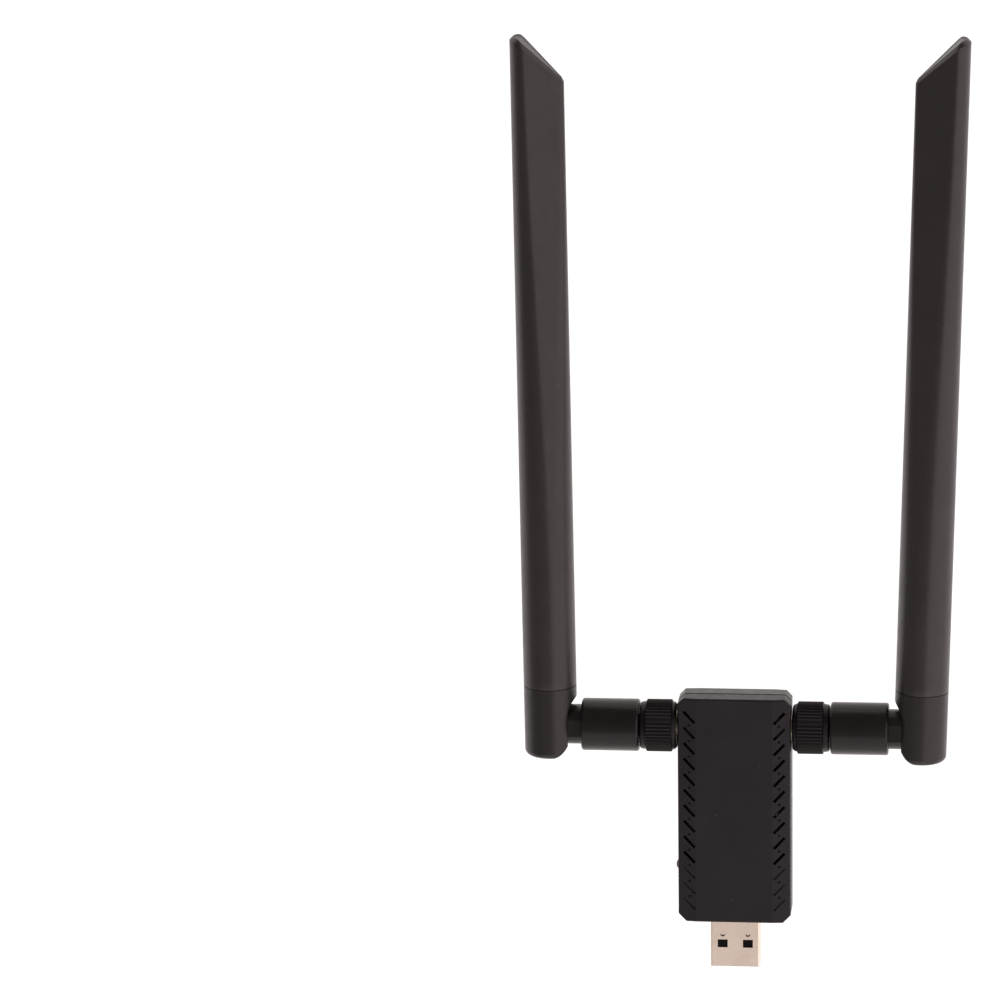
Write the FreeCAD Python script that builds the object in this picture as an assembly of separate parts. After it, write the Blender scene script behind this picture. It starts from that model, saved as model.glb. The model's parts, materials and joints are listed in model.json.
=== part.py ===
import FreeCAD, Part
import math
import os

# USB wireless adapter with two folding blade antennas, lying on its back. Millimetres.
# Origin: centre of the USB plug where it leaves the casing. +Y runs to the antenna tips, +Z is the front.
# Antenna pieces are made on the +X side, along the arm axis, and mirrored for the -X side.

# Casing
CASE_WIDTH = 27.1
CASE_LENGTH = 56.0
CASE_HALF_THICKNESS = 5.0
CASE_WALL = 1.2
PLUG_END_CHAMFER = 1.9
FAR_END_CHAMFER = 1.4
PANEL_WIDTH = 18.3
SHOULDER_DROP = 0.5
EDGE_RADIUS = 0.45
SEAM_GROOVE = 0.3
LIP_HEIGHT = 0.9
LIP_THICKNESS = 0.6
FIT_GAP = 0.05
# Recess in the back: half width, start and end along Y, depth
RECESS = (8.5, 12.0, 44.0, 0.25)

# Vents
VENT_COUNT = 13
VENT_OPEN_COUNT = 10
VENT_PITCH = 3.9
VENT_FIRST_Y = 51.4
VENT_CENTRE_X = 10.8
VENT_REACH = (2.6, 2.75)
VENT_STROKE = 0.7
ENGRAVED_STROKE = 0.45
VENT_ENGRAVED_DEPTH = 0.4
DOT_RADIUS = 0.32

# USB plug
SHELL_WIDTH = 12.0
SHELL_THICKNESS = 4.5
SHELL_EXPOSED = 12.0
SHELL_INSIDE = 6.5
SHELL_WALL = 0.3
WINDOW_SIZE = (2.4, 2.0)
WINDOW_X = 3.05
WINDOW_FROM_TIP = 5.8
MARK_FROM_TIP = 8.1
MARK_RADIUS = 0.55
MARK_OFFSET = 0.4
MARK_DEPTH = 0.2
CONTACT_X = (-3.5, -1.0, 1.0, 3.5)
CONTACT_WIDTH = 1.0
CONTACT_THICKNESS = 0.2
CONTACT_FOOT = (7.0, 9.0)
TONGUE_UNDERSIDE = 0.35

# Board
BOARD_TOP = -0.45
BOARD_THICKNESS = 1.0
BOARD_HALF_WIDTH = 11.6
BOARD_END_GAP = 1.6
POST_X = 9.6
POST_Y = (19.5, 39.0)
POST_RADIUS = 1.1
JACK_ROOM = 3.5

# Board parts: middle x, middle y, size along x, size along y, height
CHIP = (0, 23.5, 9.0, 9.0, 0.9)
SHIELD = (0, 37.5, 15.0, 12.0, 1.8)
SHIELD_WALL = 0.2
CRYSTAL = (9.2, 25.0, 2.5, 3.2, 0.8)
LED = (8.6, 9.5, 0.8, 1.6, 0.6)
INDUCTOR = (3.2, 14.5, 2.5, 2.0, 1.2)
SMALL_PART = (0.5, 1.0, 0.5)
SMALL_PART_COLUMNS = (-8.6, -7.0, 7.0)
SMALL_PART_FIRST_Y = 18.5
SMALL_PART_PITCH = 3.0

# Side button
BUTTON_Y = 13.1
BUTTON_RADIUS = 1.35
BUTTON_CLEARANCE = 0.1
BUTTON_PROUD = 0.75
FLANGE_RADIUS = 1.9
FLANGE_DEPTH = 0.75
DOME_RADIUS = 1.7
BUTTON_ROOM = 2.3

# Arm: distances along X from the casing's middle, about the arm axis
ARM_Y = CASE_LENGTH - 8.1
JACK_THREAD_RADIUS = 3.175
JACK_ROOT_RADIUS = 2.85
THREAD_PITCH = 0.705
JACK_FACE = 21.55
JACK_BASE = (7.2, 12.2)
JACK_BASE_WIDTH = 6.4
JACK_BORE_RADIUS = 2.32
JACK_BORE_DEPTH = 1.95
INSULATOR_RADIUS = 2.05
PIN_RADIUS = 0.45
NUT_START = 13.9
NUT_COLLAR = 1.0
NUT_KNURL = 6.5
NUT_END = 22.7
NUT_RADIUS = 6.3
NUT_COLLAR_RADIUS = 5.65
KNURL_COUNT = 44
KNURL_DEPTH = 0.22
INSERT_RADIUS = 4.4
INSERT_END = 22.3
NUT_LIP = 0.4
NUT_THROAT_RADIUS = 2.95
BARREL_RADIUS = 2.7
BARREL_END = 30.0
SLEEVE_START = 22.95
SLEEVE_END = 36.8
SLEEVE_RADIUS = 6.3
SLEEVE_EDGE = 0.6
COAX_RADIUS = 0.75
COAX_ROOM = 1.2
WIRE_WAY_RADIUS = 1.8
PLUG_BORE_RADIUS = 1.6
SOCKET_RADIUS = 0.8

# Fold hinge and blade: distances along Y from the arm axis. Each blade leans out by its own small angle.
LEAN_DEGREES = {"left": 0.55, "right": 1.6}
HINGE_X = 44.4
TONGUE_RADIUS = 4.8
TONGUE_HALF_THICKNESS = 4.35
POCKET_GAP = 0.2
HINGE_PIN_RADIUS = 1.0
HINGE_PIN_CLEARANCE = 0.06
HINGE_PIN_SPAN = (2.4, 5.5)
KNUCKLE_RADIUS = 6.35
KNUCKLE_BOTTOM = -7.45
KNUCKLE_BOTTOM_ROUND = 1.5
KNUCKLE_TOP = 9.8
KNUCKLE_CORNER_CENTRE = (1.0, -1.6)
KNUCKLE_CORNER_RADIUS = 6.1
SCOOP_RADIUS = 6.0
SCOOP_EDGE_X = 4.4
SCOOP_Y = 2.7
SPIGOT_TOP = 14.0
SPIGOT_GAP = 0.2
BLADE_TIP = 167.4
BLADE_WALL = 1.2
TAPER_START = 22.0
TAPER_END = 176.0
LAND_WIDTH = 2.3
TIP_CUT_DEGREES = 45.5
CAVITY_TOP = 150.0

# Blade section where the taper ends: tangent circles at the spine, the ridge and the inner edge's corner
SPINE_CENTRE = 2.2
SPINE_RADIUS = 4.1
RIDGE_RADIUS = 2.0
RIDGE_DEGREES = 60.0
INNER_CENTRE = (-5.5, 0.3)
INNER_RADIUS = 0.8
CAVITY_RIDGE_RADIUS = 0.9
CAVITY_INNER_CENTRE = (-2.8, 0.25)
CAVITY_INNER_RADIUS = 0.5


def vec(x, y, z):
    return FreeCAD.Vector(x, y, z)


def box(x0, x1, y0, y1, z0, z1):
    return Part.makeBox(x1 - x0, y1 - y0, z1 - z0, vec(x0, y0, z0))


def rod_x(x0, x1, radius, y=ARM_Y, z=0.0):
    return Part.makeCylinder(radius, x1 - x0, vec(x0, y, z), vec(1, 0, 0))


def rod_y(x, y0, y1, radius):
    return Part.makeCylinder(radius, y1 - y0, vec(x, y0, 0), vec(0, 1, 0))


def rod_z(x, y, z0, z1, radius):
    return Part.makeCylinder(radius, z1 - z0, vec(x, y, z0), vec(0, 0, 1))


def polygon_face(points):
    return Part.Face(Part.makePolygon(points + [points[0]]))


def turned_x(profile):
    """A solid turned about the arm axis from (x, radius) points."""
    face = polygon_face([vec(x, ARM_Y + radius, 0) for x, radius in profile])
    return face.revolve(vec(0, ARM_Y, 0), vec(1, 0, 0), 360)


def save(name, shape):
    shape.exportStep(f"parts/{name}.step")


def save_pair(name, shape, leans=False):
    """Exports a right-hand piece and its mirror image; a blade's pieces also lean out about its hinge."""
    for side, sign in (("right", 1), ("left", -1)):
        piece = shape.copy() if sign > 0 else shape.mirror(vec(0, 0, 0), vec(1, 0, 0))
        if leans:
            piece.rotate(vec(sign * HINGE_X, ARM_Y, 0), vec(0, 0, 1), -sign * LEAN_DEGREES[side])
        save(f"{side}_{name}", piece)


# ---- casing ----


def case_outline(inset, z0, z1):
    """The casing's eight-sided outline as a prism, inset from its outer faces."""
    half = CASE_WIDTH / 2 - inset
    near = inset
    far = CASE_LENGTH - inset
    points = [
        (-half + PLUG_END_CHAMFER, near),
        (half - PLUG_END_CHAMFER, near),
        (half, near + PLUG_END_CHAMFER),
        (half, far - FAR_END_CHAMFER),
        (half - FAR_END_CHAMFER, far),
        (-half + FAR_END_CHAMFER, far),
        (-half, far - FAR_END_CHAMFER),
        (-half, near + PLUG_END_CHAMFER),
    ]
    face = polygon_face([vec(x, y, z0) for x, y in points])
    return face.extrude(vec(0, 0, z1 - z0))


def half_form():
    """The front half's solid form: a flat panel between two gently falling shoulders, edges rounded."""
    half = CASE_WIDTH / 2
    top = CASE_HALF_THICKNESS
    shoulder = top - SHOULDER_DROP
    panel_line = PANEL_WIDTH / 2
    right = [(panel_line, top), (half, shoulder), (half, 0)]
    profile = [(-x, z) for x, z in reversed(right)] + right
    face = polygon_face([vec(x, 0, z) for x, z in profile])
    form = face.extrude(vec(0, CASE_LENGTH, 0)).common(case_outline(0, -1, top + 1)).removeSplitter()
    rim = []
    corners = []
    for edge in form.Edges:
        centre = edge.CenterOfMass
        extent = edge.BoundBox
        if abs(extent.XLength) < 1e-6 and abs(extent.YLength) < 1e-6:
            corners.append(edge)
        elif centre.z > shoulder - 0.01 and abs(abs(centre.x) - panel_line) > 0.01:
            rim.append(edge)
    return form.makeFillet(EDGE_RADIUS, corners + rim)


def half_shell():
    """The front half hollowed out, with a fine step round the seam."""
    top = CASE_HALF_THICKNESS
    shell = half_form()
    band = case_outline(-1, -1, SEAM_GROOVE)
    shell = shell.cut(band.cut(case_outline(SEAM_GROOVE, -2, SEAM_GROOVE + 1)))
    return shell.cut(case_outline(CASE_WALL, -1, top - CASE_WALL))


def case_openings():
    """Room for the jacks, the side button and the plug where they pass the walls."""
    reach = CASE_WIDTH / 2 + 1
    jacks = rod_x(-reach, reach, JACK_THREAD_RADIUS + FIT_GAP)
    button = rod_x(-reach, -CASE_WIDTH / 2 + CASE_WALL, BUTTON_RADIUS + BUTTON_CLEARANCE, BUTTON_Y)
    half_width = SHELL_WIDTH / 2 + FIT_GAP
    half_height = SHELL_THICKNESS / 2 + FIT_GAP
    plug = box(-half_width, half_width, -1, CASE_WALL + 1, -half_height, half_height)
    return jacks.fuse([button, plug])


def vent_slot(side, y, stroke, z0, z1):
    """One slanting slot; its outer end lies nearer the far end of the casing."""
    reach_x, reach_y = VENT_REACH
    length = math.hypot(reach_x, reach_y)
    angle = math.degrees(math.atan2(reach_y, reach_x))
    slot = box(-length / 2, length / 2, -stroke / 2, stroke / 2, z0, z1)
    slot.rotate(vec(0, 0, 0), vec(0, 0, 1), side * angle)
    slot.translate(vec(side * VENT_CENTRE_X, y, 0))
    return slot


def vents():
    """Two columns of slots, the last few only engraved, with a dot between neighbours."""
    top = CASE_HALF_THICKNESS
    surface = top - SHOULDER_DROP * (VENT_CENTRE_X - PANEL_WIDTH / 2) / (CASE_WIDTH / 2 - PANEL_WIDTH / 2)
    engraved = surface - VENT_ENGRAVED_DEPTH
    cuts = []
    for side in (-1, 1):
        for i in range(VENT_COUNT):
            y = VENT_FIRST_Y - i * VENT_PITCH
            if i < VENT_OPEN_COUNT:
                cuts.append(vent_slot(side, y, VENT_STROKE, 0.0, top + 1))
            else:
                cuts.append(vent_slot(side, y, ENGRAVED_STROKE, engraved, top + 1))
            if i < VENT_COUNT - 1:
                cuts.append(rod_z(side * VENT_CENTRE_X, y - VENT_PITCH / 2, engraved, top + 1, DOT_RADIUS))
    return cuts


def front_cover():
    return half_shell().cut(case_openings()).cut(vents())


def lip():
    """A thin wall inside the seam that locates the front cover."""
    outer = case_outline(CASE_WALL + FIT_GAP, -CASE_WALL, LIP_HEIGHT)
    ring = outer.cut(case_outline(CASE_WALL + FIT_GAP + LIP_THICKNESS, -CASE_WALL - 1, LIP_HEIGHT + 1))
    half = CASE_WIDTH / 2
    jacks = box(-half, half, ARM_Y - JACK_ROOM, ARM_Y + JACK_ROOM, -CASE_WALL - 1, LIP_HEIGHT + 1)
    plug = box(-SHELL_WIDTH / 2 - 0.3, SHELL_WIDTH / 2 + 0.3, 0, 5, -CASE_WALL - 1, LIP_HEIGHT + 1)
    button = box(-half, 0, BUTTON_Y - BUTTON_ROOM, BUTTON_Y + BUTTON_ROOM, -CASE_WALL - 1, LIP_HEIGHT + 1)
    return ring.cut([jacks, plug, button])


def lip_foot():
    """Joins the lip to the back cover's wall below the seam."""
    outer = case_outline(CASE_WALL - 0.2, -CASE_WALL, -FIT_GAP)
    return outer.cut(case_outline(CASE_WALL + FIT_GAP + LIP_THICKNESS, -CASE_WALL - 1, 1))


def board_posts():
    bottom = -CASE_HALF_THICKNESS + CASE_WALL - 0.2
    top = BOARD_TOP - BOARD_THICKNESS
    return [rod_z(x, y, bottom, top, POST_RADIUS) for x in (-POST_X, POST_X) for y in POST_Y]


def back_cover():
    """The mirrored half with a shallow panel recess, the locating lip and the board's posts."""
    shell = half_shell().mirror(vec(0, 0, 0), vec(0, 0, 1))
    inside = CASE_WIDTH / 2 - CASE_WALL
    jack_room = box(-inside, inside, ARM_Y - JACK_ROOM, ARM_Y + JACK_ROOM, -CASE_WALL - 1, 1)
    button_room = box(-inside, 0, BUTTON_Y - BUTTON_ROOM, BUTTON_Y + BUTTON_ROOM, -CASE_WALL - 1, 1)
    foot = lip_foot().cut([jack_room, button_room])
    shell = shell.fuse([foot, lip()] + board_posts())
    x, y0, y1, depth = RECESS
    recess = box(-x, x, y0, y1, -CASE_HALF_THICKNESS - 1, -CASE_HALF_THICKNESS + depth)
    return shell.cut([case_openings(), recess]).removeSplitter()


# ---- board ----


def circuit_board():
    bottom = BOARD_TOP - BOARD_THICKNESS
    half = BOARD_HALF_WIDTH
    board = box(-half, half, BOARD_END_GAP, CASE_LENGTH - BOARD_END_GAP - 0.6, bottom, BOARD_TOP)
    room = JACK_BASE_WIDTH / 2 + FIT_GAP
    plug = box(-6.2, 6.2, 0, SHELL_INSIDE + 0.2, bottom, BOARD_TOP)
    right_jack = box(JACK_BASE[0] - FIT_GAP, half, ARM_Y - room, ARM_Y + room, bottom, BOARD_TOP)
    left_jack = box(-half, -JACK_BASE[0] + FIT_GAP, ARM_Y - room, ARM_Y + room, bottom, BOARD_TOP)
    button = box(-half, -10.7, BUTTON_Y - 2.4, BUTTON_Y + 2.4, bottom, BOARD_TOP)
    corners = case_outline(CASE_WALL + FIT_GAP + LIP_THICKNESS + 0.1, bottom, BOARD_TOP)
    return board.cut([plug, right_jack, left_jack, button]).common(corners)


def on_board(x, y, size_x, size_y, height):
    return box(x - size_x / 2, x + size_x / 2, y - size_y / 2, y + size_y / 2, BOARD_TOP, BOARD_TOP + height)


def rf_shield():
    x, y, size_x, size_y, height = SHIELD
    walls = 2 * SHIELD_WALL
    return on_board(*SHIELD).cut(on_board(x, y, size_x - walls, size_y - walls, height - SHIELD_WALL))


def board_components():
    """Ceramic capacitors and resistors in rows beside the chip, and two larger inductors."""
    parts = []
    for row, x in enumerate(SMALL_PART_COLUMNS):
        for i in range(4):
            y = SMALL_PART_FIRST_Y + SMALL_PART_PITCH * i + 0.7 * row
            parts.append(on_board(x, y, *SMALL_PART))
    for side in (-1, 1):
        parts.append(on_board(side * INDUCTOR[0], *INDUCTOR[1:]))
    return Part.Compound(parts)


def wps_switch():
    """The tactile switch at the board's edge; its plunger waits behind the side button."""
    body = box(-10.6, -7.8, BUTTON_Y - 2.0, BUTTON_Y + 2.0, BOARD_TOP, BOARD_TOP + 1.9)
    plunger = box(-11.1, -10.6, BUTTON_Y - 0.8, BUTTON_Y + 0.8, BOARD_TOP + 0.2, BOARD_TOP + 1.4)
    return body.fuse(plunger)


def wps_button():
    """A domed cap on a short stem, kept in by a flange inside the wall."""
    face = -CASE_WIDTH / 2
    inside = face + CASE_WALL
    flange = rod_x(inside + FIT_GAP, inside + FLANGE_DEPTH, FLANGE_RADIUS, BUTTON_Y)
    stem = rod_x(face - BUTTON_PROUD, inside + FIT_GAP, BUTTON_RADIUS, BUTTON_Y)
    dome = Part.makeSphere(DOME_RADIUS, vec(face - BUTTON_PROUD + DOME_RADIUS, BUTTON_Y, 0))
    straight = rod_x(face, inside + FLANGE_DEPTH, BUTTON_RADIUS, BUTTON_Y)
    return stem.common(dome.fuse(straight)).fuse(flange)


# ---- USB plug ----


def shell_block(inset, y0, y1):
    half_width = SHELL_WIDTH / 2 - inset
    half_height = SHELL_THICKNESS / 2 - inset
    return box(-half_width, half_width, y0, y1, -half_height, half_height)


def usb_shell():
    """The folded steel shell, with two latch windows and two pressed marks on each broad face."""
    shell = shell_block(0, -SHELL_EXPOSED, SHELL_INSIDE)
    corners = [e for e in shell.Edges if abs(e.tangentAt(e.FirstParameter).y) > 0.9]
    shell = shell.makeFillet(0.5, corners)
    cuts = [shell_block(SHELL_WALL, -SHELL_EXPOSED - 1, SHELL_INSIDE + 1)]
    window_width, window_length = WINDOW_SIZE
    window_y = -SHELL_EXPOSED + WINDOW_FROM_TIP
    mark_y = -SHELL_EXPOSED + MARK_FROM_TIP
    half_height = SHELL_THICKNESS / 2
    for x in (-WINDOW_X, WINDOW_X):
        x0 = x - window_width / 2
        y0 = window_y - window_length / 2
        cuts.append(box(x0, x0 + window_width, y0, y0 + window_length, -3, 3))
        for side in (-1, 1):
            outer = side * half_height
            mark = rod_z(x, mark_y, outer - MARK_DEPTH, outer + MARK_DEPTH, MARK_RADIUS)
            cuts.append(mark.cut(rod_z(x, mark_y + MARK_OFFSET, outer - 1, outer + 1, MARK_RADIUS)))
    return shell.cut(cuts)


def contact_strips():
    """Four contacts under the tongue, each stepping down behind the block to a foot on the board."""
    top = TONGUE_UNDERSIDE + CONTACT_THICKNESS
    foot_start, foot_end = CONTACT_FOOT
    contacts = []
    for x in CONTACT_X:
        x0 = x - CONTACT_WIDTH / 2
        x1 = x + CONTACT_WIDTH / 2
        strip = box(x0, x1, -SHELL_EXPOSED + 0.8, foot_start + CONTACT_THICKNESS, TONGUE_UNDERSIDE, top)
        leg = box(x0, x1, foot_start, foot_start + CONTACT_THICKNESS, BOARD_TOP, top)
        foot = box(x0, x1, foot_start, foot_end, BOARD_TOP, BOARD_TOP + CONTACT_THICKNESS)
        contacts.append(strip.fuse([leg, foot]).removeSplitter())
    return contacts


def usb_insulator():
    """The plug's black tongue, lying against the front of the shell, and the block behind it."""
    half_width = SHELL_WIDTH / 2 - SHELL_WALL
    half_height = SHELL_THICKNESS / 2 - SHELL_WALL
    tongue = box(-half_width, half_width, -SHELL_EXPOSED + 0.4, SHELL_INSIDE, TONGUE_UNDERSIDE, half_height)
    block = box(-half_width, half_width, 1.0, SHELL_INSIDE, -half_height, half_height)
    return tongue.fuse(block).cut(contact_strips()).removeSplitter()


# ---- antenna connector ----


def jack_body():
    """The threaded jack: a block on the board's edge and a ridged barrel through the wall."""
    base = box(
        JACK_BASE[0], JACK_BASE[1],
        ARM_Y - JACK_BASE_WIDTH / 2, ARM_Y + JACK_BASE_WIDTH / 2,
        -JACK_BASE_WIDTH / 2, JACK_BASE_WIDTH / 2,
    )
    plain_end = CASE_WIDTH / 2 + 0.1
    profile = [(JACK_BASE[1], 0), (JACK_BASE[1], JACK_THREAD_RADIUS), (plain_end, JACK_THREAD_RADIUS)]
    x = plain_end
    while x + THREAD_PITCH < JACK_FACE:
        profile.append((x + THREAD_PITCH / 2, JACK_ROOT_RADIUS))
        profile.append((x + THREAD_PITCH, JACK_THREAD_RADIUS))
        x += THREAD_PITCH
    profile += [(JACK_FACE, JACK_ROOT_RADIUS), (JACK_FACE, 0)]
    barrel = turned_x(profile)
    bore = rod_x(JACK_FACE - JACK_BORE_DEPTH, JACK_FACE + 1, JACK_BORE_RADIUS)
    core = rod_x(JACK_BASE[0] - 1, JACK_FACE, INSULATOR_RADIUS)
    return base.fuse(barrel).cut([bore, core]).removeSplitter()


def jack_insulator():
    plane = JACK_FACE - JACK_BORE_DEPTH
    return rod_x(JACK_BASE[0], plane, INSULATOR_RADIUS).cut(rod_x(0, JACK_FACE, PIN_RADIUS))


def jack_pin():
    return rod_x(JACK_BASE[0] - 1.4, JACK_FACE - 0.6, PIN_RADIUS)


def nut_grip():
    """The moulded grip: a tapered collar, a knurled band, and a plain collar closing over the insert."""
    knurl_start = NUT_START + NUT_COLLAR
    knurl_end = knurl_start + NUT_KNURL
    rim = [
        (NUT_START, 0),
        (NUT_START, NUT_COLLAR_RADIUS - 0.45),
        (NUT_START + 0.45, NUT_COLLAR_RADIUS),
        (knurl_start, NUT_COLLAR_RADIUS + 0.15),
        (knurl_start + 0.3, NUT_RADIUS),
        (knurl_end - 0.3, NUT_RADIUS),
        (knurl_end, NUT_COLLAR_RADIUS + 0.15),
        (NUT_END - 0.3, NUT_COLLAR_RADIUS),
        (NUT_END, NUT_COLLAR_RADIUS - 0.3),
        (NUT_END, 0),
    ]
    star = []
    for i in range(2 * KNURL_COUNT):
        radius = NUT_RADIUS if i % 2 == 0 else NUT_RADIUS - KNURL_DEPTH
        angle = math.pi * i / KNURL_COUNT
        star.append(vec(NUT_START, ARM_Y + radius * math.cos(angle), radius * math.sin(angle)))
    knurled = polygon_face(star).extrude(vec(NUT_END - NUT_START, 0, 0))
    room = rod_x(NUT_START - 1, INSERT_END, INSERT_RADIUS)
    throat = rod_x(NUT_START, NUT_END + 1, NUT_THROAT_RADIUS)
    return turned_x(rim).common(knurled).cut([room, throat])


def nut_insert():
    """The brass nut inside the grip; its rear lip draws the barrel's ring towards the jack."""
    body = rod_x(NUT_START + 0.2, INSERT_END, INSERT_RADIUS)
    lip_start = INSERT_END - NUT_LIP
    thread = rod_x(NUT_START, lip_start, JACK_THREAD_RADIUS + FIT_GAP)
    throat = rod_x(lip_start - 1, INSERT_END + 1, BARREL_RADIUS + 0.08)
    return body.cut([thread, throat])


def plug_barrel():
    """The antenna's metal barrel: a nose in the jack's bore, a ring groove and a long shank."""
    plane = JACK_FACE - JACK_BORE_DEPTH
    nose_start = plane + 0.1
    shoulder = JACK_FACE + 0.05
    ring_end = INSERT_END - NUT_LIP - 0.05
    nose_radius = JACK_BORE_RADIUS - 0.05
    groove_radius = BARREL_RADIUS - 0.3
    outline = [
        (nose_start, 0),
        (nose_start, nose_radius),
        (shoulder, nose_radius),
        (shoulder, groove_radius),
        (ring_end, groove_radius),
        (ring_end, BARREL_RADIUS),
        (BARREL_END, BARREL_RADIUS),
        (BARREL_END, 0),
    ]
    return turned_x(outline).cut(rod_x(nose_start - 1, BARREL_END + 1, PLUG_BORE_RADIUS))


def retaining_ring():
    """An open ring in the barrel's groove that keeps the nut on the antenna."""
    start = JACK_FACE + 0.08
    end = INSERT_END - NUT_LIP - 0.05
    ring = rod_x(start, end, JACK_THREAD_RADIUS - 0.15).cut(rod_x(start - 1, end + 1, BARREL_RADIUS - 0.3))
    return ring.cut(box(start - 1, end + 1, ARM_Y - 0.5, ARM_Y + 0.5, 0, 5))


def plug_insulator():
    start = JACK_FACE - JACK_BORE_DEPTH + 0.1
    return rod_x(start, BARREL_END - 3, PLUG_BORE_RADIUS).cut(rod_x(start - 1, BARREL_END, SOCKET_RADIUS))


def plug_contact():
    """The socket that takes the jack's pin."""
    start = JACK_FACE - JACK_BORE_DEPTH + 0.15
    return rod_x(start, start + 3.0, SOCKET_RADIUS).cut(rod_x(start - 1, start + 2.4, PIN_RADIUS + 0.06))


# ---- swivel arm ----


def swivel_sleeve():
    """The plain sleeve and its flat-sided tongue, round about the fold hinge."""
    sleeve = rod_x(SLEEVE_START, SLEEVE_END, SLEEVE_RADIUS)
    rims = [e for e in sleeve.Edges if abs(e.BoundBox.XLength) < 1e-6]
    sleeve = sleeve.makeFillet(SLEEVE_EDGE, rims)
    neck = rod_x(SLEEVE_END - 1, HINGE_X, TONGUE_RADIUS)
    ball = Part.makeSphere(TONGUE_RADIUS, vec(HINGE_X, ARM_Y, 0))
    half = TONGUE_HALF_THICKNESS
    flats = box(SLEEVE_END - 2, HINGE_X + 9, ARM_Y - 9, ARM_Y + 9, -half, half)
    tongue = neck.fuse(ball).common(flats)
    barrel_room = rod_x(SLEEVE_START - 1, BARREL_END, BARREL_RADIUS)
    room = COAX_ROOM
    coax_room = rod_x(BARREL_END - 1, HINGE_X, room)
    bend_room = box(HINGE_X - room, HINGE_X + 6, ARM_Y - room, ARM_Y + 6, -room, room)
    pin_room = rod_z(HINGE_X, ARM_Y, -6, 6, HINGE_PIN_RADIUS + HINGE_PIN_CLEARANCE)
    return sleeve.fuse(tongue).cut([barrel_room, coax_room, bend_room, pin_room]).removeSplitter()


def sleeve_coax():
    return rod_x(JACK_FACE + 1.3, HINGE_X - 1.4, COAX_RADIUS)


# ---- blade ----


def knuckle():
    """The hinge fork: a round post whose pocket opens inwards and downwards for the tongue."""
    bottom = ARM_Y + KNUCKLE_BOTTOM
    top = ARM_Y + KNUCKLE_TOP
    post = rod_y(HINGE_X, bottom, top, KNUCKLE_RADIUS)
    rims = [e for e in post.Edges if abs(e.BoundBox.YLength) < 1e-6 and e.BoundBox.YMin < ARM_Y]
    post = post.makeFillet(KNUCKLE_BOTTOM_ROUND, rims)
    spigot = rod_y(HINGE_X, top - 1, ARM_Y + SPIGOT_TOP, KNUCKLE_RADIUS - BLADE_WALL - SPIGOT_GAP)
    room = TONGUE_RADIUS + POCKET_GAP
    inner = HINGE_X - KNUCKLE_RADIUS - 1
    half = TONGUE_HALF_THICKNESS + POCKET_GAP
    sweep = rod_x(inner, HINGE_X, room)
    sweep = sweep.fuse(rod_y(HINGE_X, bottom - 1, ARM_Y, room))
    sweep = sweep.fuse(Part.makeSphere(room, vec(HINGE_X, ARM_Y, 0)))
    sweep = sweep.fuse(box(inner, HINGE_X, bottom - 1, ARM_Y, -half, half))
    slab = box(inner - 1, HINGE_X + 9, bottom - 2, ARM_Y + 9, -half, half)
    pocket = sweep.common(slab)
    corner = box(inner, HINGE_X, bottom - 1, ARM_Y, -9, 9)
    corner_x, corner_y = KNUCKLE_CORNER_CENTRE
    corner = corner.cut(rod_z(HINGE_X + corner_x, ARM_Y + corner_y, -9, 9, KNUCKLE_CORNER_RADIUS))
    scoop = rod_z(HINGE_X - SCOOP_EDGE_X - SCOOP_RADIUS, ARM_Y + SCOOP_Y, -9, 9, SCOOP_RADIUS)
    pins = rod_z(HINGE_X, ARM_Y, -HINGE_PIN_SPAN[1], HINGE_PIN_SPAN[1], HINGE_PIN_RADIUS)
    wire_way = rod_y(HINGE_X, ARM_Y, ARM_Y + SPIGOT_TOP + 1, WIRE_WAY_RADIUS)
    return post.fuse(spigot).cut([pocket, corner, scoop, pins, wire_way]).removeSplitter()


def hinge_pins():
    """Two short pins, one in each ear, with the cable's way between them."""
    low, high = HINGE_PIN_SPAN
    upper = rod_z(HINGE_X, ARM_Y, low, high, HINGE_PIN_RADIUS)
    lower = rod_z(HINGE_X, ARM_Y, -high, -low, HINGE_PIN_RADIUS)
    return Part.Compound([upper, lower])


def taper(y):
    """How far the section has gone from round, 0, to its full blade shape, 1."""
    part = (y - TAPER_START) / (TAPER_END - TAPER_START)
    part = min(1.0, max(0.0, part))
    return max(0.02, part * part * (3 - 2 * part))


def polar(centre, radius, angle):
    return (centre[0] + radius * math.cos(angle), centre[1] + radius * math.sin(angle))


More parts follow.
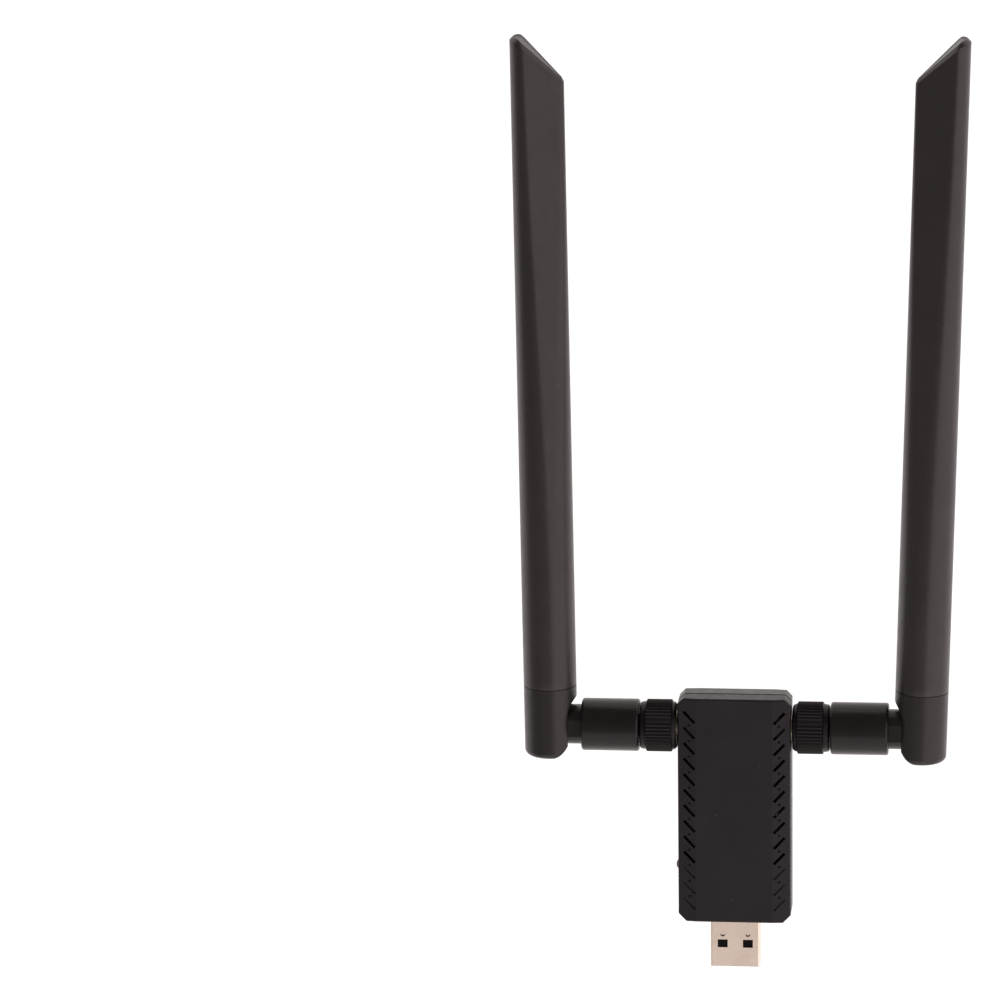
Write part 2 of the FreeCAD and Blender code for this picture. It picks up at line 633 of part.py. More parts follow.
def section_wire(y, round_radius, spine, ridge_radius, inner):
    """The blade's section: a spine arc, then on each face a ridge arc, a flat, a corner and half the edge."""
    t = taper(y)
    spine_centre = (spine[0] * t, 0.0)
    spine_r = round_radius + (spine[1] - round_radius) * t
    ridge_r = round_radius + (ridge_radius - round_radius) * t
    inner_centre = (inner[0] * t, inner[1] * t)
    inner_r = round_radius + (inner[2] - round_radius) * t
    start = math.radians(RIDGE_DEGREES)
    ridge_centre = polar(spine_centre, spine_r - ridge_r, start)
    run = (inner_centre[0] - ridge_centre[0], inner_centre[1] - ridge_centre[1])
    heading = math.atan2(run[1], run[0]) % (2 * math.pi)
    flat = heading - math.acos((ridge_r - inner_r) / math.hypot(*run))

    def place(point, sign=1):
        return vec(HINGE_X + point[0], ARM_Y + y, sign * point[1])

    def arc(centre, radius, a0, a1, sign=1):
        points = [place(polar(centre, radius, a), sign) for a in (a0, (a0 + a1) / 2, a1)]
        return Part.Arc(*points).toShape()

    ridge_end = polar(ridge_centre, ridge_r, flat)
    corner_start = polar(inner_centre, inner_r, flat)
    corner_end = polar(inner_centre, inner_r, math.pi)
    edges = [
        arc(spine_centre, spine_r, -start, start),
        arc(ridge_centre, ridge_r, start, flat),
        Part.makeLine(place(ridge_end), place(corner_start)),
        arc(inner_centre, inner_r, flat, math.pi),
        Part.makeLine(place(corner_end), place(corner_end, -1)),
        arc(inner_centre, inner_r, math.pi, flat, -1),
        Part.makeLine(place(corner_start, -1), place(ridge_end, -1)),
        arc(ridge_centre, ridge_r, flat, start, -1),
    ]
    return Part.Wire(edges)


def blade_body(y0, y1, round_radius, spine, ridge_radius, inner):
    steps = 8
    stations = [y0 + (y1 - y0) * i / steps for i in range(steps + 1)]
    wires = [section_wire(y, round_radius, spine, ridge_radius, inner) for y in stations]
    return Part.makeLoft(wires, True, False)


def blade_cover():
    """The hollow blade, cut off on a slant at the tip but for a short land at the spine."""
    outside = blade_body(
        KNUCKLE_TOP, BLADE_TIP + 1, KNUCKLE_RADIUS,
        (SPINE_CENTRE, SPINE_RADIUS), RIDGE_RADIUS, (*INNER_CENTRE, INNER_RADIUS),
    )
    inside = blade_body(
        KNUCKLE_TOP - 1, CAVITY_TOP, KNUCKLE_RADIUS - BLADE_WALL,
        (SPINE_CENTRE, SPINE_RADIUS - BLADE_WALL), CAVITY_RIDGE_RADIUS,
        (*CAVITY_INNER_CENTRE, CAVITY_INNER_RADIUS),
    )
    tip = ARM_Y + BLADE_TIP
    edge = HINGE_X + SPINE_CENTRE + SPINE_RADIUS
    land_x = edge - LAND_WIDTH
    run = 14.0
    drop = run * math.tan(math.radians(TIP_CUT_DEGREES))
    waste = polygon_face([
        vec(edge + 2, tip, -9),
        vec(land_x, tip, -9),
        vec(land_x - run, tip - drop, -9),
        vec(land_x - run, tip + 5, -9),
        vec(edge + 2, tip + 5, -9),
    ]).extrude(vec(0, 0, 18))
    return outside.cut([inside, waste])


def antenna_board():
    """A narrow board standing in the spine's hollow, carrying the dual-band elements."""
    return box(HINGE_X - 2.4, HINGE_X + 4.2, ARM_Y + 16, ARM_Y + 138, -0.4, 0.4)


def antenna_elements():
    """Copper areas on the board's front: two driven arms, two short arms and the ground."""
    z0 = 0.4
    z1 = 0.5
    areas = [
        (-1.6, 3.4, 20, 44),
        (-1.6, 0.2, 47, 72),
        (1.6, 3.4, 47, 60),
        (-0.2, 2.0, 84, 112),
        (-1.6, 3.4, 115, 134),
    ]
    return Part.Compound([
        box(HINGE_X + x0, HINGE_X + x1, ARM_Y + y0, ARM_Y + y1, z0, z1) for x0, x1, y0, y1 in areas
    ])


def blade_coax():
    """The cable inside the blade, from the hinge up to the board's end."""
    return rod_y(HINGE_X, ARM_Y + 6.0, ARM_Y + 15.8, COAX_RADIUS)


def main():
    os.makedirs("parts", exist_ok=True)
    save("front_cover", front_cover())
    save("back_cover", back_cover())
    save("circuit_board", circuit_board())
    save("wifi_chip", on_board(*CHIP))
    save("rf_shield", rf_shield())
    save("crystal", on_board(*CRYSTAL))
    save("board_components", board_components())
    save("status_led", on_board(*LED))
    save("wps_switch", wps_switch())
    save("wps_button", wps_button())
    save("usb_shell", usb_shell())
    save("usb_insulator", usb_insulator())
    save("usb_contacts", Part.Compound(contact_strips()))
    save_pair("jack_body", jack_body())
    save_pair("jack_insulator", jack_insulator())
    save_pair("jack_pin", jack_pin())
    save_pair("nut_grip", nut_grip())
    save_pair("nut_insert", nut_insert())
    save_pair("plug_barrel", plug_barrel())
    save_pair("retaining_ring", retaining_ring())
    save_pair("plug_insulator", plug_insulator())
    save_pair("plug_contact", plug_contact())
    save_pair("swivel_sleeve", swivel_sleeve())
    save_pair("sleeve_coax", sleeve_coax())
    save_pair("knuckle", knuckle(), leans=True)
    save_pair("hinge_pins", hinge_pins(), leans=True)
    save_pair("blade_cover", blade_cover(), leans=True)
    save_pair("antenna_board", antenna_board(), leans=True)
    save_pair("antenna_elements", antenna_elements(), leans=True)
    save_pair("blade_coax", blade_coax(), leans=True)


main()
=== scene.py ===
import json
import math

import bmesh
import bpy
from mathutils import Euler, Matrix, Vector


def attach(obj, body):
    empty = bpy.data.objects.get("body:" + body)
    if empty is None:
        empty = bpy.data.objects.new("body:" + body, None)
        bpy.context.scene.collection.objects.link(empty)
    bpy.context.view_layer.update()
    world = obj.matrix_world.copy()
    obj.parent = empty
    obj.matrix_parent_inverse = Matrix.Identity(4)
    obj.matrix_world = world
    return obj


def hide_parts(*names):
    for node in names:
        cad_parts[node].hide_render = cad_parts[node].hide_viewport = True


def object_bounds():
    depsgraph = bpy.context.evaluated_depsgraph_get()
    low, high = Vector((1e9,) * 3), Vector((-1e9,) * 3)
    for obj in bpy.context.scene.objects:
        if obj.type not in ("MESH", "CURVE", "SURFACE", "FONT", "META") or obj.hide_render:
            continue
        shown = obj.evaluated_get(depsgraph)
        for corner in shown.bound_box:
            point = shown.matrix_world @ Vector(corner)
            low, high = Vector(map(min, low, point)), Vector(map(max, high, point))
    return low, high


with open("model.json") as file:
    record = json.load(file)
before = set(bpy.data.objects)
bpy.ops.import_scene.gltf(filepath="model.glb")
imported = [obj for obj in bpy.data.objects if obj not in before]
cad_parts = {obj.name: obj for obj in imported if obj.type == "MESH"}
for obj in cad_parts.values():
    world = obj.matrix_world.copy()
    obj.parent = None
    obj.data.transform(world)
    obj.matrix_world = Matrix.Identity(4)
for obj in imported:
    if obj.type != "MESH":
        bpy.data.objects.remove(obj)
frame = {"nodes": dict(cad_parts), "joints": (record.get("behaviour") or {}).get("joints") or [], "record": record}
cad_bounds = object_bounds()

MM = 0.001
SIDES = ("left", "right")
nodes = frame["nodes"]
joints = {joint["name"]: joint for joint in frame["joints"]}


# ---- shader helpers ----


def srgb(r, g, b):
    """A colour given as 0-255 display values, as the linear values that shaders use."""
    def linear(value):
        value /= 255
        return value / 12.92 if value <= 0.04045 else ((value + 0.055) / 1.055) ** 2.4
    return (linear(r), linear(g), linear(b), 1.0)


def scaled(base, factor, lift=0.0):
    """A colour made darker or lighter by a factor, then lifted evenly."""
    return tuple(min(1.0, c * factor + lift) for c in base[:3]) + (1.0,)


class Shader:
    """A Principled material with small helpers for its procedural nodes."""

    def __init__(self, name, roughness=0.5, metallic=0.0, specular=0.5, coat=0.0, coat_roughness=0.1):
        self.material = bpy.data.materials.new(name)
        self.material.use_nodes = True
        self.tree = self.material.node_tree
        self.bsdf = self.tree.nodes["Principled BSDF"]
        self.bsdf.inputs["Roughness"].default_value = roughness
        self.bsdf.inputs["Metallic"].default_value = metallic
        self.bsdf.inputs["Specular IOR Level"].default_value = specular
        self.bsdf.inputs["Coat Weight"].default_value = coat
        self.bsdf.inputs["Coat Roughness"].default_value = coat_roughness
        self.place = self.node("ShaderNodeTexCoord").outputs["Object"]
        self.normal = None

    def node(self, kind, **settings):
        made = self.tree.nodes.new(kind)
        for key, value in settings.items():
            setattr(made, key, value)
        return made

    def link(self, source, target):
        self.tree.links.new(source, target)

    def stretched(self, scale):
        """Object coordinates scaled differently along each axis, for brushed or streaky patterns."""
        mapping = self.node("ShaderNodeMapping")
        mapping.inputs["Scale"].default_value = scale
        self.link(self.place, mapping.inputs["Vector"])
        return mapping.outputs["Vector"]

    def noise(self, size_mm, detail=2.0, vector=None):
        made = self.node("ShaderNodeTexNoise")
        made.inputs["Scale"].default_value = 1000.0 / size_mm
        made.inputs["Detail"].default_value = detail
        self.link(vector or self.place, made.inputs["Vector"])
        return made.outputs["Fac"]

    def cells(self, size_mm):
        """The distance from the nearest of a scatter of points, about size_mm apart."""
        made = self.node("ShaderNodeTexVoronoi")
        made.inputs["Scale"].default_value = 1000.0 / size_mm
        self.link(self.place, made.inputs["Vector"])
        return made.outputs["Distance"]

    def remap(self, value, low, high, to_low=0.0, to_high=1.0):
        made = self.node("ShaderNodeMapRange")
        self.link(value, made.inputs["Value"])
        for key, number in zip(("From Min", "From Max", "To Min", "To Max"), (low, high, to_low, to_high)):
            made.inputs[key].default_value = number
        return made.outputs["Result"]

    def mix(self, factor, first, second):
        """Blends two colours, each a fixed colour or another node's output."""
        made = self.node("ShaderNodeMix", data_type="RGBA")
        self.link(factor, made.inputs["Factor"])
        for key, colour in (("A", first), ("B", second)):
            socket = [s for s in made.inputs if s.name == key and s.type == "RGBA"][0]
            if isinstance(colour, tuple):
                socket.default_value = colour
            else:
                self.link(colour, socket)
        return [s for s in made.outputs if s.type == "RGBA"][0]

    def colour(self, source):
        self.link(source, self.bsdf.inputs["Base Color"])

    def roughness(self, value):
        self.link(value, self.bsdf.inputs["Roughness"])

    def bump(self, height, strength, distance_mm):
        made = self.node("ShaderNodeBump")
        made.inputs["Strength"].default_value = strength
        made.inputs["Distance"].default_value = distance_mm * MM
        self.link(height, made.inputs["Height"])
        if self.normal is not None:
            self.link(self.normal, made.inputs["Normal"])
        self.normal = made.outputs["Normal"]
        self.link(self.normal, self.bsdf.inputs["Normal"])

    def paint_shade(self, limits, colour):
        """Painted shade on bare metal: a dark, non-metallic colour where every (axis, middle, half size) in
        millimetres holds.

        Each limit is on the distance from the object's middle plane, so both sides are shaded alike.
        """
        split = self.node("ShaderNodeSeparateXYZ")
        self.link(self.place, split.inputs["Vector"])
        inside = None
        for axis, middle, half in limits:
            distance = self.node("ShaderNodeMath", operation="ABSOLUTE")
            self.link(split.outputs[axis], distance.inputs[0])
            near = self.node("ShaderNodeMath", operation="COMPARE")
            self.link(distance.outputs[0], near.inputs[0])
            near.inputs[1].default_value = middle * MM
            near.inputs[2].default_value = half * MM
            if inside is None:
                inside = near.outputs[0]
                continue
            both = self.node("ShaderNodeMath", operation="MULTIPLY")
            self.link(inside, both.inputs[0])
            self.link(near.outputs[0], both.inputs[1])
            inside = both.outputs[0]
        for key, shade_colour in (("Base Color", colour), ("Metallic", (0.0, 0.0, 0.0, 0.0))):
            socket = self.bsdf.inputs[key]
            unshaded_value = socket.links[0].from_socket if socket.is_linked else (1.0, 1.0, 1.0, 1.0)
            self.link(self.mix(inside, unshaded_value, shade_colour), socket)


# ---- finishes ----

GLOSS_TINT = (1.0, 0.85, 0.87, 1.0)
DUST_COLOUR = srgb(150, 144, 138)
# Painted shade: a dark colour painted into the recesses of the plug shell's pressed marks, and a dark colour
# painted onto metal inside the casing and in the gaps by the sleeves.
PRESSED_MARK_SHADE = srgb(46, 38, 34)
SHADED_METAL = srgb(30, 26, 22)


def moulded(name, base, rough, grain_mm=0.16, grain=0.25, gloss=0.4, dust=0.5, coat=0.0):
    """Moulded plastic: uneven tone, a fine spark-eroded grain, faint rub marks and a little dust."""
    shader = Shader(name, roughness=rough, specular=gloss, coat=coat, coat_roughness=0.22)
    shader.bsdf.inputs["Specular Tint"].default_value = GLOSS_TINT
    mottle = shader.remap(shader.noise(size_mm=9.0, detail=3.0), low=0.3, high=0.7)
    tone = shader.mix(mottle, scaled(base, 0.8), scaled(base, 1.22))
    flecks = shader.remap(shader.noise(size_mm=0.35), low=0.35, high=0.7, to_high=0.16)
    tone = shader.mix(flecks, tone, scaled(base, 1.9, lift=0.004))
    specks = shader.remap(shader.cells(size_mm=3.4), low=0.030, high=0.016, to_high=dust)
    shader.colour(shader.mix(specks, tone, DUST_COLOUR))
    streaks = shader.noise(size_mm=2.4, detail=4.0, vector=shader.stretched((1.6, 0.8, 1.6)))
    shader.roughness(shader.remap(streaks, low=0.3, high=0.75, to_low=rough - 0.05, to_high=rough + 0.06))
    shader.bump(shader.noise(size_mm=grain_mm, detail=3.0), strength=grain, distance_mm=0.02)
    shader.bump(shader.noise(size_mm=4.5, detail=1.0), strength=0.10, distance_mm=0.05)
    return shader


def metal(name, base, rough, along, tarnish=(0.7, 0.7, 0.7)):
    """Plated or turned metal: brushing along one way, soft stains, and uneven gloss."""
    shader = Shader(name, roughness=rough, metallic=1.0)
    stained = tuple(c * t for c, t in zip(base[:3], tarnish)) + (1.0,)
    stains = shader.remap(shader.noise(size_mm=3.5, detail=4.0), low=0.42, high=0.72, to_high=0.7)
    shader.colour(shader.mix(stains, base, stained))
    brushed = shader.noise(size_mm=0.3, detail=3.0, vector=shader.stretched(along))
    shader.roughness(shader.remap(brushed, low=0.3, high=0.7, to_low=rough - 0.08, to_high=rough + 0.12))
    shader.bump(brushed, strength=0.12, distance_mm=0.01)
    return shader


def board_mask(name):
    """Near-black solder mask with slightly lighter lands and fine traces showing through."""
    shader = Shader(name, roughness=0.38, specular=0.4)
    traces = shader.node("ShaderNodeTexBrick")
    traces.inputs["Scale"].default_value = 420.0
    traces.inputs["Mortar Size"].default_value = 0.09
    traces.inputs["Color1"].default_value = (0, 0, 0, 1)
    traces.inputs["Color2"].default_value = (0.15, 0.15, 0.15, 1)
    traces.inputs["Mortar"].default_value = (1, 1, 1, 1)
    shader.link(shader.place, traces.inputs["Vector"])
    lands = shader.remap(shader.noise(size_mm=2.5), low=0.4, high=0.6)
    ground = shader.mix(lands, srgb(14, 15, 16), srgb(22, 24, 25))
    shader.colour(shader.mix(traces.outputs["Color"], ground, srgb(44, 46, 44)))
    shader.roughness(shader.remap(shader.noise(size_mm=0.8), low=0.3, high=0.7, to_low=0.3, to_high=0.5))
    shader.bump(traces.outputs["Color"], strength=0.3, distance_mm=0.03)
    return shader


PLASTICS = {
    "case_plastic": dict(base=srgb(23, 19, 20), rough=0.34, grain_mm=0.14, grain=0.08, gloss=0.34),
    "front_plastic": dict(base=srgb(25, 21, 23), rough=0.43, grain_mm=0.14, grain=0.06, gloss=0.31),
    "blade_plastic": dict(base=srgb(30, 25, 24), rough=0.36, grain_mm=0.18, grain=0.10, gloss=0.55),
    "knuckle_plastic": dict(base=srgb(26, 22, 21), rough=0.36, grain_mm=0.18, grain=0.10, gloss=0.46),
    "sleeve_plastic": dict(base=srgb(21, 18, 18), rough=0.27, grain_mm=0.3, grain=0.01, gloss=0.31),
    "nut_plastic": dict(base=srgb(9, 8, 8), rough=0.36, grain_mm=0.2, grain=0.05, gloss=0.22),
    "button_plastic": dict(base=srgb(18, 16, 16), rough=0.42, grain_mm=0.2, grain=0.12, dust=0.0),
    "switch_plastic": dict(base=srgb(62, 60, 60), rough=0.5, dust=0.0),
    "chip_epoxy": dict(base=srgb(26, 26, 28), rough=0.6, dust=0.0),
    "insulator_black": dict(base=srgb(9, 9, 9), rough=0.5, gloss=0.1, dust=0.0),
    "cable_jacket": dict(base=srgb(24, 24, 24), rough=0.4, dust=0.0),
    "ptfe": dict(base=srgb(226, 224, 216), rough=0.5, grain=0.08, dust=0.0),
    "ceramic_parts": dict(base=srgb(150, 118, 86), rough=0.55, grain=0.15, dust=0.0),
    "led_lens": dict(base=srgb(226, 230, 214), rough=0.2, grain=0.03, dust=0.0, coat=0.4),
}
METALS = {
    "nickel_shell": dict(
        base=srgb(240, 218, 203), rough=0.32, along=(8.0, 0.5, 8.0), tarnish=(0.9, 0.88, 0.86)
    ),
    "jack_metal": dict(
        base=srgb(236, 228, 210), rough=0.26, along=(0.6, 8.0, 8.0), tarnish=(0.8, 0.76, 0.66)
    ),
    "contact_gold": dict(
        base=srgb(224, 186, 104), rough=0.24, along=(8.0, 0.6, 8.0), tarnish=(0.85, 0.78, 0.6)
    ),
    "brass_insert": dict(
        base=srgb(206, 176, 112), rough=0.34, along=(0.5, 8.0, 8.0), tarnish=(0.7, 0.62, 0.48)
    ),
    "steel_pin": dict(base=srgb(188, 188, 186), rough=0.3, along=(8.0, 8.0, 0.6)),
    "tinplate": dict(
        base=srgb(198, 196, 190), rough=0.36, along=(6.0, 0.8, 6.0), tarnish=(0.85, 0.85, 0.84)
    ),
    "copper": dict(
        base=srgb(196, 120, 84), rough=0.35, along=(4.0, 1.0, 4.0), tarnish=(0.7, 0.6, 0.5)
    ),
}
# Painted shade where shade falls: the recesses of the plug shell's pressed marks, the jack's metal inside the
# casing, and the brass and jack metal seen in the gaps between the sleeves and the nuts.
SLEEVE_GAP = ("X", 22.5, 1.3)
PAINTED_SHADE = (
    ("nickel_shell", [("X", 3.05, 0.7), ("Y", 4.2, 0.7), ("Z", 0.0, 2.2)], PRESSED_MARK_SHADE),
    ("jack_metal", [("X", 0.0, 12.8)], SHADED_METAL),
    ("brass_insert", [SLEEVE_GAP], SHADED_METAL),
    ("jack_metal", [SLEEVE_GAP], SHADED_METAL),
)


def make_shaders():
    shaders = {name: moulded(name, **finish) for name, finish in PLASTICS.items()}
    shaders["board_mask"] = board_mask("board_mask")
    shaders.update({name: metal(name, **finish) for name, finish in METALS.items()})
    # Paint shade onto the listed metals.
    for name, limits, colour in PAINTED_SHADE:
        shaders[name].paint_shade(limits, colour)
    return shaders


shaders = make_shaders()


def dress(obj, finish):
    obj.data.materials.clear()
    obj.data.materials.append(shaders[finish].material)


def dress_cad_nodes():
    """Each CAD node gets its slot's finish; the front cover and knuckles get a variant of it."""
    for entry in frame["record"]["subparts"]:
        dress(nodes[entry["node"]], entry["material_slot"])
    dress(nodes["front_cover"], "front_plastic")
    for side in SIDES:
        dress(nodes[f"{side}_knuckle"], "knuckle_plastic")


dress_cad_nodes()


# ---- meshes ----

SMOOTH_DEGREES = 35.0


def mesh_object(name, verts, faces):
    """A new object, smooth except across edges sharper than SMOOTH_DEGREES."""
    mesh = bpy.data.meshes.new(name)
    mesh.from_pydata([tuple(v) for v in verts], [], faces)
    obj = bpy.data.objects.new(name, mesh)
    bpy.context.scene.collection.objects.link(obj)
    work = bmesh.new()
    work.from_mesh(mesh)
    bmesh.ops.recalc_face_normals(work, faces=work.faces)
    limit = math.radians(SMOOTH_DEGREES)
    for face in work.faces:
        face.smooth = True
    for edge in work.edges:
        edge.smooth = len(edge.link_faces) == 2 and edge.calc_face_angle(0.0) < limit
    work.to_mesh(mesh)
    work.free()
    return obj


# ---- blades ----
# A blade is shaped in its own frame, in millimetres: x towards its spine, y along it from the fold
# hinge, and z across it.

ROUND_RADIUS = 6.35
SPINE_CENTRE = 2.2
SPINE_RADIUS = 4.1
RIDGE_RADIUS = 2.0
RIDGE_ANGLE = math.radians(60)
CORNER_CENTRE = (-5.5, 0.3)
CORNER_RADIUS = 0.8
TAPER_START = 22.0
TAPER_END = 176.0
LEAST_TAPER = 0.004
SEAM = 9.8
SEAM_GAP = 0.06
TIP = 167.4
LAND_WIDTH = 2.3
LAND_SOFTNESS = 0.35
TIP_CUT_SLOPE = math.tan(math.radians(45.5))

# The parting line's height, as a share of half the blade's thickness, and its groove.
PARTING_SHARE = -0.3
PARTING_WIDTH = 0.14
PARTING_DEPTH = 0.26
PARTING_MAX_STEP = 0.45
PARTING_ROW = 4
FACE_LEAN = 0.14

# The bevel round the cut face, as (inset, drop) pairs, and how much wider it is at the spine.
BEVEL = ((0.0, 0.50), (0.04, 0.43), (0.42, 0.05), (0.49, 0.0), (0.55, 0.0), (0.59, 0.07))
BEVEL_GROWTH = 1.9
BEVEL_GROWTH_AT_CORNER = 1.2

# The rounded foot above the seam, as (share of the length, inset), and the rings above it.
FOOT_ROUNDING = ((0.0, 0.14), (0.0005, 0.04), (0.0016, 0.0))
FIRST_SIDE_SHARE = 0.004
SIDE_RINGS = 110

# How finely the outline is sampled round the blade.
SPINE_FIRST_SHARES = (0.0, 0.02, 0.05)
SPINE_STEPS = 14
RIDGE_STEPS = 12
FLAT_STEPS = 12
CORNER_STEPS = 9
EDGE_LEVELS = (
    0.5, 0.0, PARTING_SHARE + PARTING_WIDTH, PARTING_SHARE, PARTING_SHARE - PARTING_WIDTH, -0.65, -0.83,
)


def blend(a, b, t):
    return a + (b - a) * t


def taper(y):
    """How far the section has turned from round, 0, to the flat-sided tip, 1."""
    part = min(1.0, max(0.0, (y - TAPER_START) / (TAPER_END - TAPER_START)))
    return max(LEAST_TAPER, part * part * (3 - 2 * part))


def section_circles(y):
    """The circles that shape the blade at a height, as (x, z, radius): spine, ridge and inner corner."""
    t = taper(y)
    spine_r = blend(ROUND_RADIUS, SPINE_RADIUS, t)
    ridge_r = blend(ROUND_RADIUS, RIDGE_RADIUS, t)
    corner_r = blend(ROUND_RADIUS, CORNER_RADIUS, t)
    spine = (SPINE_CENTRE * t, 0.0, spine_r)
    reach = spine_r - ridge_r
    ridge = (spine[0] + reach * math.cos(RIDGE_ANGLE), reach * math.sin(RIDGE_ANGLE), ridge_r)
    corner = (CORNER_CENTRE[0] * t, CORNER_CENTRE[1] * t, corner_r)
    return spine, ridge, corner


def flat_angle():
    """The direction that the blade's broad flats face; it is the same at every height."""
    _, ridge, corner = section_circles(TIP)
    run = (corner[0] - ridge[0], corner[1] - ridge[1])
    heading = math.atan2(run[1], run[0]) % (2 * math.pi)
    return heading - math.acos((ridge[2] - corner[2]) / math.hypot(*run))


FLAT_ANGLE = flat_angle()


def outline_stops():
    """The samples round the blade as (part, share along it, side, groove depth)."""
    first = SPINE_FIRST_SHARES[-1]
    upper = [("spine", share, 1, 0.0) for share in SPINE_FIRST_SHARES]
    upper += [("spine", blend(first, 1.0, i / SPINE_STEPS), 1, 0.0) for i in range(1, SPINE_STEPS + 1)]
    upper += [("ridge", i / RIDGE_STEPS, 1, 0.0) for i in range(1, RIDGE_STEPS + 1)]
    upper += [("flat", i / FLAT_STEPS, 1, 0.0) for i in range(1, FLAT_STEPS)]
    upper += [("corner", i / CORNER_STEPS, 1, 0.0) for i in range(CORNER_STEPS + 1)]
    edge = []
    for level in EDGE_LEVELS:
        groove = PARTING_DEPTH if level == PARTING_SHARE else 0.0
        edge.append(("edge", level, 1, groove))
    lower = [(part, share, -1, groove) for part, share, _, groove in reversed(upper[1:])]
    return upper, edge, lower


def outline_xz(stop, y, inset):
    """Where an outline sample lies at a height, drawn in by the inset and its own groove."""
    part, share, side, groove = stop
    spine, ridge, corner = section_circles(y)
    if part == "spine":
        angle = RIDGE_ANGLE * share
        circle = spine
    elif part == "ridge":
        angle = blend(RIDGE_ANGLE, FLAT_ANGLE, share)
        circle = ridge
    elif part == "flat":
        angle = FLAT_ANGLE
        circle = [blend(a, b, share) for a, b in zip(ridge, corner)]
    elif part == "corner":
        angle = blend(FLAT_ANGLE, math.pi, share)
        circle = corner
    else:
        angle = math.pi
        circle = (corner[0], corner[1] * share, corner[2])
    radius = circle[2] - inset - groove
    return circle[0] + radius * math.cos(angle), side * (circle[1] + radius * math.sin(angle))


def cut_height(x):
    """The blade's upper end: a short land at the spine, then the slanting cut."""
    land_x = SPINE_CENTRE + SPINE_RADIUS - LAND_WIDTH
    past = land_x - x
    over = 0.5 * (past + math.sqrt(past * past + LAND_SOFTNESS * LAND_SOFTNESS))
    return TIP - over * TIP_CUT_SLOPE


def face_lean(z, half):
    """How far the cut face has dropped at z: in front of the parting line it leans forward."""
    return FACE_LEAN * max(0.0, z - PARTING_SHARE * half)


def bevel_growth(stop):
    """How wide the bevel round the cut face is at an outline sample, as a multiple of its profile."""
    part, share, _, _ = stop
    if part in ("spine", "ridge"):
        return BEVEL_GROWTH
    if part == "flat":
        return blend(BEVEL_GROWTH, BEVEL_GROWTH_AT_CORNER, share)
    if part == "corner":
        return blend(BEVEL_GROWTH_AT_CORNER, 1.0, share)
    return 1.0


def face_levels(half):
    """Heights of the samples across the cut face, from its front edge to its back edge."""
    parting = PARTING_SHARE * half
    step = min(PARTING_MAX_STEP, 0.3 * half)
    back = parting - step
    return [
        half, 0.5 * half, 0.0, parting + step, parting,
        back, blend(back, -half, 0.4), blend(back, -half, 0.75), -half,
    ]


def side_ring(stops, share, inset):
    """One ring of the blade's side, at a share of the way from the foot to the bevel."""
    foot = SEAM + SEAM_GAP
    ring = []
    for stop in stops:
        x_end, z_end = outline_xz(stop, TIP, 0.0)
        drop = bevel_growth(stop) * BEVEL[0][1] + face_lean(z_end, abs(z_end))
        y = blend(foot, cut_height(x_end) - drop, share)
        x, z = outline_xz(stop, y, inset)
        ring.append((x, y, z))
    return ring


def bevel_ring(stops, inset, drop):
    """One ring of the bevel that leads onto the cut face."""
    ring = []
    for stop in stops:
        growth = bevel_growth(stop)
        x, z = outline_xz(stop, TIP, growth * inset)
        ring.append((x, cut_height(x) - growth * drop - face_lean(z, abs(z)), z))
    return ring


def blade_rings(stops):
    """Rings of the blade's surface from the seam up, then round the bevel onto the cut face."""
    rings = [side_ring(stops, share, inset) for share, inset in FOOT_ROUNDING]
    for i in range(1, SIDE_RINGS + 1):
        share = FIRST_SIDE_SHARE + (1 - FIRST_SIDE_SHARE) * (i / SIDE_RINGS)
        rings.append(side_ring(stops, share, 0.0))
    rings += [bevel_ring(stops, inset, drop) for inset, drop in BEVEL[1:]]
    return rings


def side_faces(ring_count, count):
    """Quads between neighbouring rings of count points each."""
    faces = []
    for r in range(ring_count - 1):
        for i in range(count):
            j = (i + 1) % count
            faces.append((r * count + i, r * count + j, (r + 1) * count + j, (r + 1) * count + i))
    return faces


def cut_faces(verts, count, upper_count, edge_count):
    """Quads over the cut face, inside the last ring; the points between its rims are added to verts."""
    first = len(verts) - count
    rows = edge_count + 1
    final = upper_count - 1
    grid = {}
    for i in range(1, final + 1):
        grid[(i, 0)] = first + i
        grid[(i, rows)] = first + count - i
        x, y, half = verts[first + i]
        y += face_lean(half, half)
        for k, z in enumerate(face_levels(half)[1:-1], start=1):
            if i == final:
                grid[(i, k)] = first + final + k
                continue
            groove = PARTING_DEPTH if k == PARTING_ROW else 0.0
            grid[(i, k)] = len(verts)
            verts.append((x, y - face_lean(z, half) - groove, z))
    faces = []
    for i in range(1, final):
        for k in range(rows):
            faces.append((grid[(i, k)], grid[(i + 1, k)], grid[(i + 1, k + 1)], grid[(i, k + 1)]))
    faces.append([first] + [grid[(1, k)] for k in range(rows + 1)])
    return faces


def blade_mesh(name, side, lean):
    """One blade as a closed mesh with a parting line across its cut face and down its edge."""
    upper, edge, lower = outline_stops()
    stops = upper + edge + lower
    count = len(stops)
    rings = blade_rings(stops)
    verts = [p for ring in rings for p in ring]
    faces = side_faces(len(rings), count)
    faces += cut_faces(verts, count, len(upper), len(edge))
    faces.append(list(range(count)))
    hinge = Vector(joints[f"{side}_blade_fold"]["pos_m"])
    sign = 1 if side == "right" else -1
    turn = Matrix.Rotation(math.radians(-sign * lean), 3, "Z")
    placed = [hinge + turn @ Vector((sign * x * MM, y * MM, z * MM)) for x, y, z in verts]
    return mesh_object(name, placed, faces)


def build_blades():
    for side in SIDES:
        lean = -joints[f"{side}_blade_fold"]["range_deg"][0]
        blade = blade_mesh(f"{side}_blade_body", side, lean)
        dress(blade, "blade_plastic")
        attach(blade, f"{side}_blade")
        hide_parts(f"{side}_blade_cover")


build_blades()


# ---- floor, light and camera ----

FLOOR_REACH = 3.0
FLOOR_CLEARANCE = 0.0002
CAMERA_PLACE = (0.0847, 0.4308, 1.2853)
CAMERA_DEGREES = (-14.301, 6.051, -0.777)
CAMERA_LENS_MM = 201.28
CAMERA_SENSOR_MM = 36.0
CAMERA_CLIP_START = 0.01


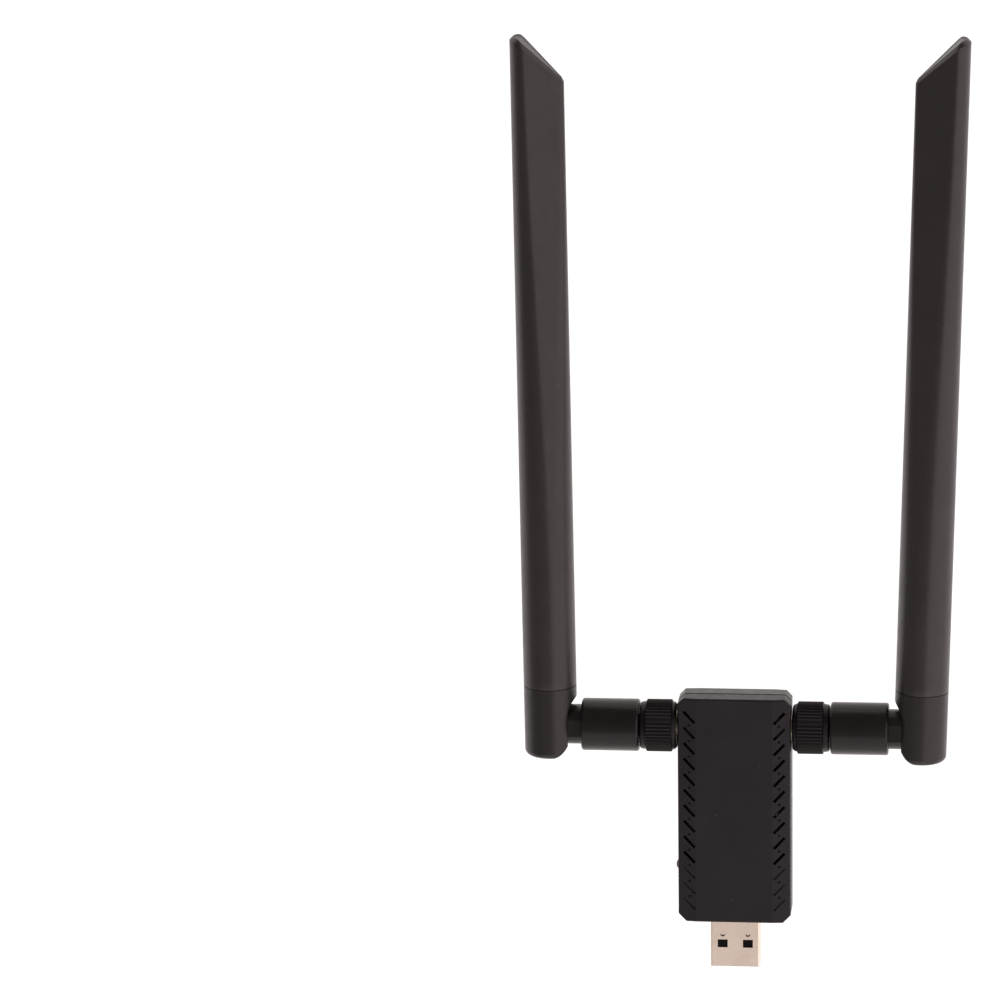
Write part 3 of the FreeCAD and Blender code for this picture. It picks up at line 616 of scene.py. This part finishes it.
def stage_material():
    shader = Shader("studio_floor", roughness=0.9, specular=0.1)
    patches = shader.noise(size_mm=60.0)
    shader.colour(shader.mix(patches, (0.28, 0.28, 0.28, 1), (0.31, 0.31, 0.31, 1)))
    shader.bsdf.inputs["Emission Color"].default_value = (1, 0.955, 0.945, 1)
    shader.bsdf.inputs["Emission Strength"].default_value = 1.03
    return shader.material


def build_stage():
    """A pale, faintly lit table just under the lowest point."""
    z = cad_bounds[0][2] - FLOOR_CLEARANCE
    corners = ((-1, -1), (1, -1), (1, 1), (-1, 1))
    verts = [(FLOOR_REACH * x, FLOOR_REACH * y, z) for x, y in corners]
    floor = mesh_object("studio_floor", verts, [(0, 1, 2, 3)])
    floor.data.materials.append(stage_material())


def build_world():
    """An even room that is a little darker beyond the antennas' tips."""
    world = bpy.data.worlds.new("studio")
    world.use_nodes = True
    tree = world.node_tree
    background = tree.nodes["Background"]
    direction = tree.nodes.new("ShaderNodeTexCoord").outputs["Generated"]
    split = tree.nodes.new("ShaderNodeSeparateXYZ")
    tree.links.new(direction, split.inputs["Vector"])
    ramp = tree.nodes.new("ShaderNodeMapRange")
    ramp.interpolation_type = "SMOOTHSTEP"
    tree.links.new(split.outputs["Y"], ramp.inputs["Value"])
    for key, number in (("From Min", 0.6), ("From Max", -0.4), ("To Min", 0.25), ("To Max", 0.45)):
        ramp.inputs[key].default_value = number
    tree.links.new(ramp.outputs["Result"], background.inputs["Strength"])
    background.inputs["Color"].default_value = (1, 0.98, 0.97, 1)
    bpy.context.scene.world = world


def softbox(name, place, aim, size, brightness):
    """A rectangular light whose surface looks equally bright whatever its size."""
    data = bpy.data.lights.new(name, "AREA")
    data.shape = "RECTANGLE"
    data.size, data.size_y = size
    data.energy = brightness * math.pi * size[0] * size[1]
    light = bpy.data.objects.new(name, data)
    light.location = place
    light.rotation_euler = (Vector(aim) - Vector(place)).to_track_quat("-Z", "Y").to_euler()
    bpy.context.scene.collection.objects.link(light)


def build_lights():
    """One softbox to the right and a fainter one in front of the plug."""
    softbox(
        "key_softbox", place=(0.867, -0.1, 0.677), aim=(0.0, -0.1, 0.0), size=(1.8, 1.55), brightness=1.0
    )
    softbox(
        "front_softbox", place=(0.0, -0.98, 0.69), aim=(0.0, 0.0, 0.0), size=(1.5, 1.5), brightness=0.72
    )


def build_camera():
    """Nearly overhead, moved towards the antenna tips; its angles are the photographed view's."""
    data = bpy.data.cameras.new("camera")
    data.sensor_width = CAMERA_SENSOR_MM
    data.lens = CAMERA_LENS_MM
    data.clip_start = CAMERA_CLIP_START
    camera = bpy.data.objects.new("camera", data)
    camera.location = CAMERA_PLACE
    camera.rotation_euler = Euler([math.radians(angle) for angle in CAMERA_DEGREES])
    bpy.context.scene.collection.objects.link(camera)
    bpy.context.scene.camera = camera


build_stage()
build_world()
build_lights()
build_camera()
bpy.context.scene.view_settings.view_transform = "Standard"
